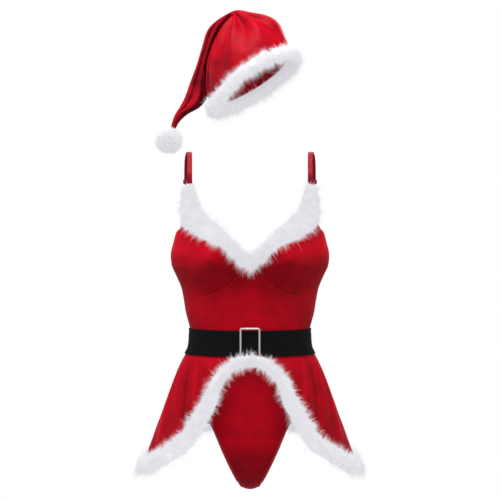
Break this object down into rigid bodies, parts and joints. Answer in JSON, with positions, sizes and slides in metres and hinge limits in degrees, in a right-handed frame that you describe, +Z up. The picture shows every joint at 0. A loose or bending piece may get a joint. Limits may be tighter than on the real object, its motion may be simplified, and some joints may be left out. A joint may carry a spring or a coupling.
{
  "type": "santa costume",
  "caption": "Hollow worn form of a red velvet strap bodysuit with flared peplum, white fur trim, belt and buckle, with its matching pointed fur-brimmed hat above.",
  "frame": {"origin": "midway between the tops of the two shoulder straps, where the wearer's shoulders hold the garment", "axes": "+Z up along the garment, the front faces -Y, +X is the viewer's right when looking at the front"},
  "size_m": [0.4622, 0.2908, 0.9595],
  "materials": {
    "velvet": "deep red stretch velvet with a short nap and a soft sheen",
    "hat_velvet": "brighter red plush velvet with crushed folds and a strong sheen",
    "fur": "white long-haired marabou style fur trim",
    "elastic": "red satin-faced elastic",
    "webbing": "matte black ribbed elastic webbing",
    "buckle_metal": "polished silver-coloured metal",
    "slider_plastic": "red coated strap slider"
  },
  "bodies": {
    "root": {"front_bodice": "velvet", "front_brief": "velvet", "back_bodice": "velvet", "back_brief_right": "velvet", "back_brief_left": "velvet", "side_panel_right": "velvet", "side_panel_left": "velvet", "cup_right": "velvet", "cup_left": "velvet", "leg_binding_right": "elastic", "leg_binding_left": "elastic", "strap_right": "elastic", "strap_left": "elastic", "strap_slider_right": "slider_plastic", "strap_slider_left": "slider_plastic", "peplum_front_right": "velvet", "peplum_front_left": "velvet", "peplum_back_right": "velvet", "peplum_back_left": "velvet", "belt_right": "webbing", "belt_left": "webbing", "buckle": "buckle_metal", "neck_fur": "fur", "hem_fur_right": "fur", "hem_fur_left": "fur", "hat_crown_back": "hat_velvet", "hat_crown_front": "hat_velvet", "hat_tail": "hat_velvet", "hat_brim_fur": "fur", "hat_pompom": "fur"}
  },
  "joints": []
}
